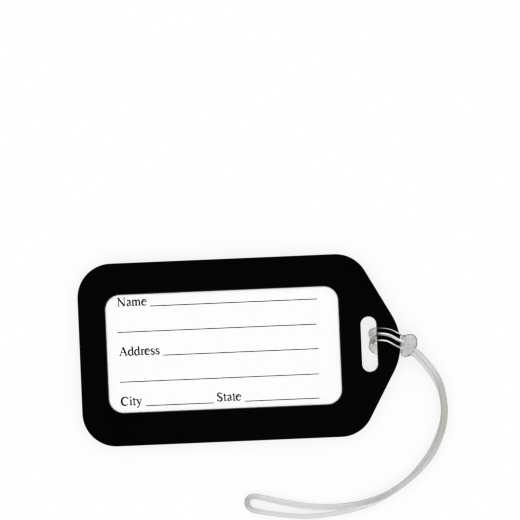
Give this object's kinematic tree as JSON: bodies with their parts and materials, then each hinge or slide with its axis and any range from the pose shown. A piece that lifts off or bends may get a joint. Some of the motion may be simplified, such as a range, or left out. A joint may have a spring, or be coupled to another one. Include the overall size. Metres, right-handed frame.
{
  "type": "luggage tag",
  "caption": "Flat luggage tag: welded black holder with a window and slide-out address card, on a clear vinyl loop strap hitched round the slot bar and threaded through its own moulded head.",
  "frame": {"origin": "centre of the holder's outline, on its back face", "axes": "+X along the holder towards the strap end, +Y across its width, +Z out of the front, window side"},
  "size_m": [0.1232, 0.0889, 0.0054],
  "materials": {
    "cover_sheet": "satin black vinyl with a fine grain and paler cut edges",
    "spacer_sheet": "black vinyl, cut edge",
    "card": "uncoated white card stock",
    "window": "clear polished film",
    "strap": "clear soft vinyl, slightly grey"
  },
  "bodies": {
    "holder": {"back_cover": "cover_sheet", "pocket_spacer": "spacer_sheet", "window_sheet": "window", "front_cover": "cover_sheet"},
    "card": {"id_card": "card"},
    "hitch": {"hitch_wrap": "strap"},
    "head": {"strap_head": "strap", "loop_root": "strap"},
    "loop": {"loop_end": "strap"}
  },
  "joints": [
    {"name": "card_slide", "type": "slide", "parent": "holder", "child": "card", "axis": [-1, 0, 0], "range_m": [0, 0.088]},
    {"name": "hitch_slide", "type": "slide", "parent": "holder", "child": "hitch", "axis": [0, 1, 0], "range_m": [-0.004, 0.002]},
    {"name": "strap_swing", "type": "hinge", "parent": "hitch", "child": "head", "pos_m": [0.0552, -0.0012, 0.00105], "axis": [0, 1, 0], "range_deg": [-60, 60]},
    {"name": "loop_flex", "type": "hinge", "parent": "head", "child": "loop", "pos_m": [0.0673, -0.0194, -0.00055], "axis": [0, 0, 1], "range_deg": [-10, 75]}
  ]
}
